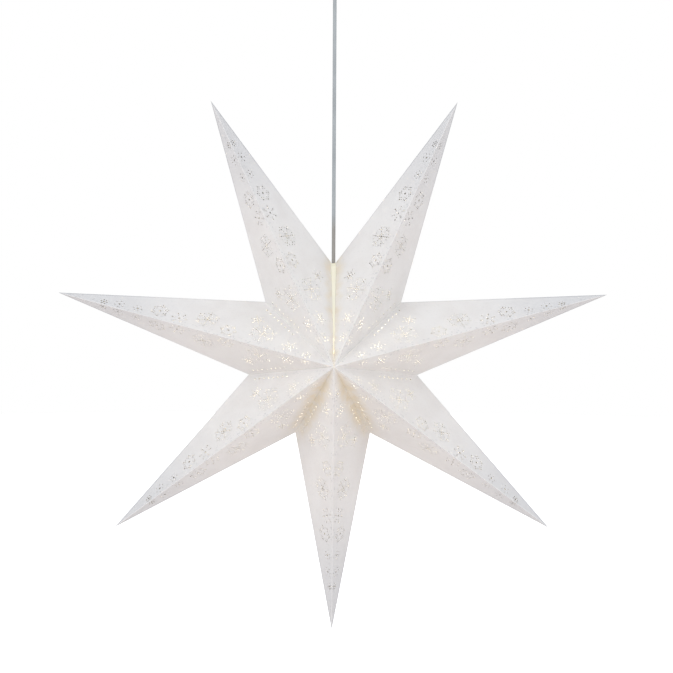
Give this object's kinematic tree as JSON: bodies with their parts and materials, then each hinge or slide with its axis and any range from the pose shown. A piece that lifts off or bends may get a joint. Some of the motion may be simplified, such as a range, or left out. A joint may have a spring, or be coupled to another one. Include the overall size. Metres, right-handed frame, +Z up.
{
  "type": "paper star lantern",
  "caption": "Hanging paper star lantern with hollow folded points and an open seam for its cord, on a ceiling cup, with a small lamp inside.",
  "frame": {"origin": "middle of the ceiling plate's top face, where the lantern meets the ceiling", "axes": "+Z up into the ceiling, -Y towards the star's front, +X to the star's right as seen from its front"},
  "size_m": [0.6, 0.1828, 0.7877],
  "materials": {
    "paper": "matte",
    "hook_and_loop": "matte",
    "cord_sheath": "satin",
    "holder_plastic": "satin",
    "cup_plastic": "gloss",
    "sleeve_rubber": "matte",
    "brass": "satin",
    "nickel": "satin",
    "zinc_steel": "satin",
    "steatite": "matte",
    "black_vitrite": "gloss",
    "bulb_glass": "gloss",
    "filament": "satin"
  },
  "bodies": {
    "ceiling": {"ceiling_plate": "zinc_steel", "ceiling_cup": "cup_plastic", "cup_screw_left": "nickel", "cup_screw_right": "nickel", "cord_bush": "cup_plastic", "bush_nut": "cup_plastic", "strain_clamp": "holder_plastic", "strain_clamp_screw": "zinc_steel", "terminal_block": "holder_plastic", "terminal_screw_1": "brass", "terminal_screw_2": "brass", "terminal_screw_3": "brass", "terminal_screw_4": "brass", "cord_tail": "cord_sheath"},
    "sleeve": {"cord_sleeve": "sleeve_rubber"},
    "pendant": {"cord": "cord_sheath", "lamp_cord_grip": "holder_plastic", "lampholder_cap": "holder_plastic", "lampholder_skirt": "holder_plastic", "thread_sleeve": "brass", "contact_block": "steatite", "centre_contact": "brass", "live_terminal_screw": "brass", "neutral_terminal_screw": "brass"},
    "bulb": {"bulb_glass": "bulb_glass", "bulb_cap": "nickel", "bulb_insulator": "black_vitrite", "bulb_contact": "brass", "bulb_filament": "filament"},
    "star": {"paper_point_bottom": "paper"},
    "lower_left": {"paper_point_lower_left": "paper"},
    "left": {"paper_point_left": "paper"},
    "top_left": {"paper_point_top_left": "paper", "seam_hook_dot_front": "hook_and_loop", "seam_hook_dot_back": "hook_and_loop", "seam_cover_front": "paper", "seam_cover_back": "paper"},
    "lower_right": {"paper_point_lower_right": "paper"},
    "right": {"paper_point_right": "paper"},
    "top_right": {"paper_point_top_right": "paper", "seam_loop_dot_front": "hook_and_loop", "seam_loop_dot_back": "hook_and_loop"}
  },
  "joints": [
    {"name": "swing_side", "type": "hinge", "parent": "ceiling", "child": "sleeve", "pos_m": [0, 0, -0.06], "axis": [0, 1, 0], "range_deg": [-15, 15]},
    {"name": "swing_front", "type": "hinge", "parent": "sleeve", "child": "pendant", "pos_m": [0, 0, -0.0758], "axis": [1, 0, 0], "range_deg": [-15, 15]},
    {"name": "bulb_unscrew", "type": "slide", "parent": "pendant", "child": "bulb", "axis": [0, 0, 1], "range_m": [-0.013, 0]},
    {"name": "star_turn", "type": "hinge", "parent": "pendant", "child": "star", "pos_m": [0, 0, -0.48], "axis": [0, 0, 1], "range_deg": [-180, 180]},
    {"name": "fold_lower_left", "type": "hinge", "parent": "star", "child": "lower_left", "pos_m": [0, 0, -0.48], "axis": [0, -1, 0], "range_deg": [0, 49.7], "deforming": ["paper_point_lower_left", "paper_point_bottom"]},
    {"name": "fold_left", "type": "hinge", "parent": "lower_left", "child": "left", "pos_m": [0, 0, -0.48], "axis": [0, -1, 0], "range_deg": [0, 49.7], "deforming": ["paper_point_left"]},
    {"name": "fold_top_left", "type": "hinge", "parent": "left", "child": "top_left", "pos_m": [0, 0, -0.48], "axis": [0, -1, 0], "range_deg": [0, 49.7], "deforming": ["paper_point_top_left"]},
    {"name": "fold_lower_right", "type": "hinge", "parent": "star", "child": "lower_right", "pos_m": [0, 0, -0.48], "axis": [0, 1, 0], "range_deg": [0, 49.7], "deforming": ["paper_point_lower_right"]},
    {"name": "fold_right", "type": "hinge", "parent": "lower_right", "child": "right", "pos_m": [0, 0, -0.48], "axis": [0, 1, 0], "range_deg": [0, 49.7], "deforming": ["paper_point_right"]},
    {"name": "fold_top_right", "type": "hinge", "parent": "right", "child": "top_right", "pos_m": [0, 0, -0.48], "axis": [0, 1, 0], "range_deg": [0, 49.7], "deforming": ["paper_point_top_right"]}
  ],
  "couplings": [
    {"joint": "fold_left", "follows": "fold_lower_left", "ratio": 1},
    {"joint": "fold_top_left", "follows": "fold_lower_left", "ratio": 1},
    {"joint": "fold_lower_right", "follows": "fold_lower_left", "ratio": 1},
    {"joint": "fold_right", "follows": "fold_lower_left", "ratio": 1},
    {"joint": "fold_top_right", "follows": "fold_lower_left", "ratio": 1}
  ]
}
